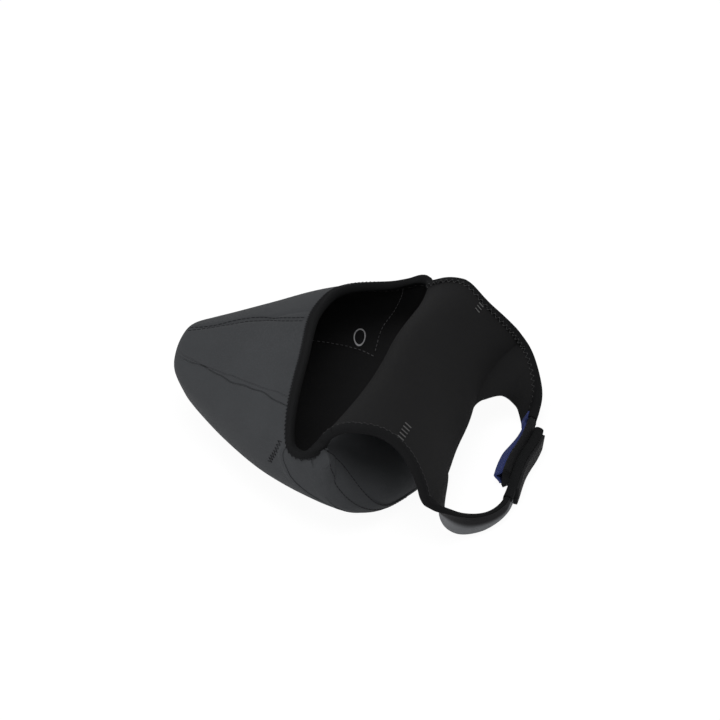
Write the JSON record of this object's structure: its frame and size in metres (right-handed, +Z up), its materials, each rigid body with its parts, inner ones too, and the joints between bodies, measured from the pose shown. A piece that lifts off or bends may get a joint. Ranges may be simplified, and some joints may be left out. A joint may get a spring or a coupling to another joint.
{
  "type": "neoprene camera sleeve",
  "caption": "Soft neoprene camera sleeve with a tapered lens nose, a bound open mouth and a folded-back flap ending in a ring closed by a hook tab.",
  "frame": {"origin": "on the flat underside, below the middle of the mouth", "axes": "X along the lens axis with the nose towards -X, Y across the camera, Z up from the table"},
  "size_m": [0.237, 0.1972, 0.0844],
  "materials": {
    "grey_neoprene": "matte",
    "black_lining": "matte",
    "binding_tape": "matte",
    "closure_tape": "matte",
    "blue_hook": "matte"
  },
  "bodies": {
    "pouch": {"nose_top_gore": "grey_neoprene", "nose_near_gore": "grey_neoprene", "nose_far_gore": "grey_neoprene", "near_gusset": "grey_neoprene", "far_gusset": "grey_neoprene", "pouch_lining": "black_lining", "mouth_binding": "binding_tape", "back_wall_panel": "grey_neoprene", "back_wall_lining": "black_lining", "neck_panel": "grey_neoprene", "neck_lining": "black_lining", "neck_binding_near": "binding_tape", "neck_binding_far": "binding_tape"},
    "flap": {"flap_panel": "grey_neoprene", "flap_lining": "black_lining", "flap_binding_near": "binding_tape", "flap_binding_far": "binding_tape", "far_arm": "grey_neoprene", "far_arm_lining": "black_lining", "hook_stub": "blue_hook"},
    "near_arm": {"near_arm": "grey_neoprene", "near_arm_lining": "black_lining", "loop_patch": "closure_tape"},
    "hook_tab": {"hook_tab": "closure_tape", "hook_tape": "blue_hook"}
  },
  "joints": [
    {"name": "flap_fold", "type": "hinge", "parent": "pouch", "child": "flap", "pos_m": [0.043, 0, 0.0845], "axis": [0, -1, 0], "range_deg": [0, 75]},
    {"name": "near_arm_lift", "type": "hinge", "parent": "flap", "child": "near_arm", "pos_m": [0.0914, -0.0661, 0.037], "axis": [0.0288, -0.9783, 0.2051], "range_deg": [0, 40]},
    {"name": "hook_tab_peel", "type": "hinge", "parent": "flap", "child": "hook_tab", "pos_m": [0.1088, 0.04385, 0.0073], "axis": [-0.2531, 0, -0.9674], "range_deg": [0, 25]}
  ]
}
